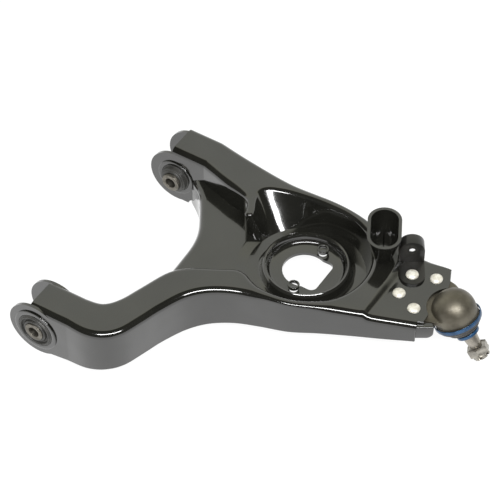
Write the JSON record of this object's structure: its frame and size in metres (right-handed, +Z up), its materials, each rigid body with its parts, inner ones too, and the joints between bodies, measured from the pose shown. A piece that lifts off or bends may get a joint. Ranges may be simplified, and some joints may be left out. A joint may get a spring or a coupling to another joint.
{
  "type": "automotive control arm",
  "caption": "Stamped steel lower suspension arm with two pivot bushings, a coil spring pocket, a bump stop cup, a link bracket and a riveted ball joint.",
  "frame": {"origin": "centre of the straight leg's bushing, on the axis that the two pivot bushings share", "axes": "+X outboard towards the ball joint, +Y along the pivot axis from the curved leg to the straight leg, +Z up, the side the spring stands on"},
  "size_m": [0.5159, 0.3745, 0.1199],
  "materials": {
    "black_paint": "glossy black paint over pressed steel",
    "painted_nuts": "glossy black paint over square weld nuts",
    "forged_steel": "bare forged steel with a thin oil film",
    "rivet_heads": "pale plated rivet heads",
    "nylon": "moulded bearing plastic",
    "machined_steel": "turned and hardened steel",
    "zinc_plate": "dull zinc plating",
    "boot_rubber": "smooth black boot rubber",
    "blue_band": "blue coated spring bands",
    "bushing_rubber": "bonded natural rubber with a light bloom"
  },
  "bodies": {
    "arm": {"straight_leg": "black_paint", "curved_leg": "black_paint", "low_web": "black_paint", "pocket_far_inboard": "black_paint", "pocket_far_outboard": "black_paint", "pocket_near_inboard": "black_paint", "pocket_near_outboard": "black_paint", "ball_joint_plate": "black_paint", "spring_seat": "black_paint", "bump_stop_cup": "black_paint", "link_bracket": "black_paint", "steering_stop": "black_paint", "damper_nuts": "painted_nuts", "ball_joint_housing": "forged_steel", "ball_joint_rivets": "rivet_heads", "housing_cover": "forged_steel", "ball_seat_upper": "nylon", "ball_seat_lower": "nylon", "boot_ring_large": "blue_band", "straight_bushing_shell": "black_paint", "straight_bushing_rubber": "bushing_rubber", "curved_bushing_shell": "black_paint", "curved_bushing_rubber": "bushing_rubber"},
    "straight_sleeve": {"straight_bushing_sleeve": "zinc_plate"},
    "curved_sleeve": {"curved_bushing_sleeve": "zinc_plate"},
    "boot": {"dust_boot": "boot_rubber"},
    "boot_neck": {"boot_ring_small": "blue_band"},
    "stud": {"ball_stud": "machined_steel", "castle_nut": "zinc_plate"}
  },
  "joints": [
    {"name": "straight_twist", "type": "hinge", "parent": "arm", "child": "straight_sleeve", "pos_m": [0, 0, 0], "axis": [0, 1, 0], "range_deg": [-25, 25], "stiffness_Nm_per_rad": 60},
    {"name": "curved_twist", "type": "hinge", "parent": "arm", "child": "curved_sleeve", "pos_m": [0, -0.307, 0], "axis": [0, 1, 0], "range_deg": [-25, 25], "stiffness_Nm_per_rad": 60},
    {"name": "stud_swing", "type": "hinge", "parent": "arm", "child": "boot", "pos_m": [0.426, -0.063, 0.035], "axis": [0, 1, 0], "range_deg": [-10, 30], "deforming": ["dust_boot"]},
    {"name": "stud_side_swing", "type": "hinge", "parent": "boot", "child": "boot_neck", "pos_m": [0.426, -0.063, 0.035], "axis": [0.7986, 0, 0.6018], "range_deg": [-15, 15]},
    {"name": "stud_spin", "type": "hinge", "parent": "boot_neck", "child": "stud", "pos_m": [0.426, -0.063, 0.035], "axis": [0.6018, 0, -0.7986], "continuous": true}
  ],
  "couplings": [
    {"joint": "curved_twist", "follows": "straight_twist", "ratio": 1}
  ]
}
